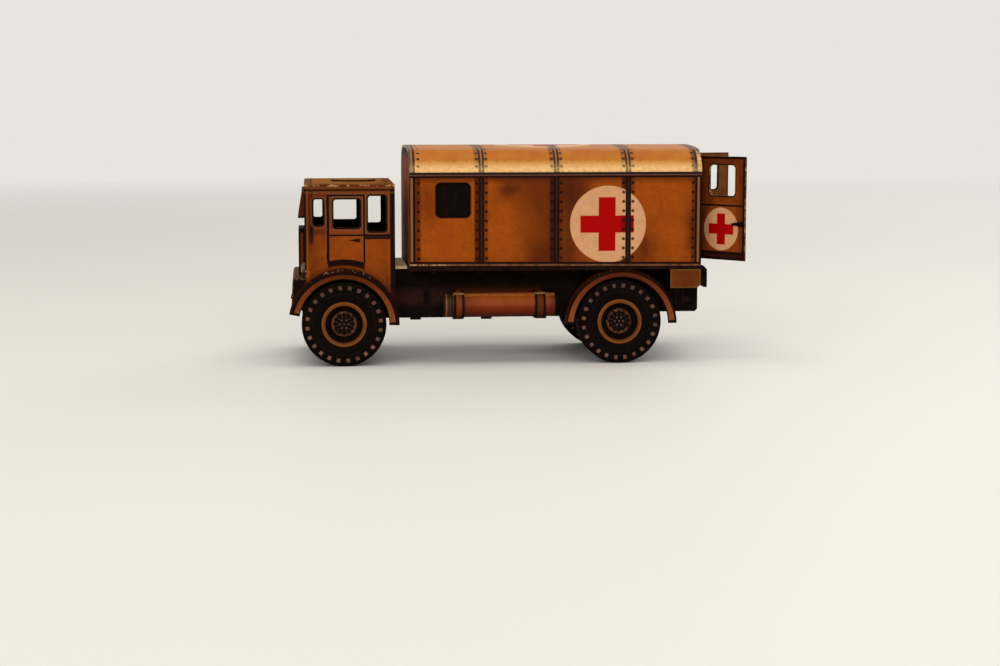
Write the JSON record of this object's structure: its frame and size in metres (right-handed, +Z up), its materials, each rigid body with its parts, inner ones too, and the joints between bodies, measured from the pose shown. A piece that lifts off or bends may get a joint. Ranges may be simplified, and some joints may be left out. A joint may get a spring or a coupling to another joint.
{
  "type": "card model of a military ambulance truck",
  "caption": "Small card model of a forward-control military ambulance truck: box body with arched roof, hinged rear doors, cab, rolling axles.",
  "frame": {"origin": "on the ground, under the middle of the model's box, with the doors open as stored", "axes": "+X to the truck's rear, +Y to its right side, +Z up"},
  "size_m": [0.0912, 0.0364, 0.0421],
  "materials": {
    "body_card": "matte",
    "roof_card": "satin",
    "black_card": "matte",
    "tyre_card": "matte",
    "stick": "matte"
  },
  "bodies": {
    "truck": {"body_floor": "black_card", "body_front": "body_card", "body_rear_frame": "body_card", "body_roof": "roof_card", "body_side_far": "body_card", "body_side_near": "body_card", "cab_back": "body_card", "cab_floor": "black_card", "cab_front": "body_card", "cab_roof": "roof_card", "cab_roof_hatch": "roof_card", "cab_side_far": "body_card", "cab_side_near": "body_card", "chassis_formers": "black_card", "chassis_rear": "black_card", "chassis_side_far": "black_card", "chassis_side_near": "black_card", "chassis_top": "black_card", "front_apron": "body_card", "front_fender_far": "body_card", "front_fender_near": "body_card", "head_lamps": "body_card", "locker_far": "body_card", "locker_near": "body_card", "radiator_box": "body_card", "rear_fender_far": "body_card", "rear_fender_near": "body_card", "rear_step": "black_card", "side_window_backings": "black_card", "tank_far": "body_card", "tank_near": "body_card", "tank_straps_far": "body_card", "tank_straps_near": "body_card", "windscreen_flap": "body_card"},
    "front_axle": {"front_axle_stick": "stick", "front_rim_far": "body_card", "front_rim_near": "body_card", "front_tyre_far": "tyre_card", "front_tyre_near": "tyre_card"},
    "rear_axle": {"rear_axle_stick": "stick", "rear_rim_far": "body_card", "rear_rim_near": "body_card", "rear_tyre_far": "tyre_card", "rear_tyre_near": "tyre_card"},
    "near_door": {"near_door": "body_card", "near_door_lever": "black_card"},
    "far_door": {"far_door": "body_card", "far_door_lever": "black_card"}
  },
  "joints": [
    {"name": "front_axle_turn", "type": "hinge", "parent": "truck", "child": "front_axle", "pos_m": [-0.03519, 0.0017, 0.00815], "axis": [0, 1, 0], "continuous": true},
    {"name": "rear_axle_turn", "type": "hinge", "parent": "truck", "child": "rear_axle", "pos_m": [0.01825, 0.0017, 0.00815], "axis": [0, 1, 0], "continuous": true},
    {"name": "near_door_swing", "type": "hinge", "parent": "truck", "child": "near_door", "pos_m": [0.03438, -0.0097, 0.0199], "axis": [0, 0, -1], "range_deg": [-140, 20]},
    {"name": "far_door_swing", "type": "hinge", "parent": "truck", "child": "far_door", "pos_m": [0.03438, 0.0131, 0.0199], "axis": [0, 0, 1], "range_deg": [-100, 60]}
  ]
}
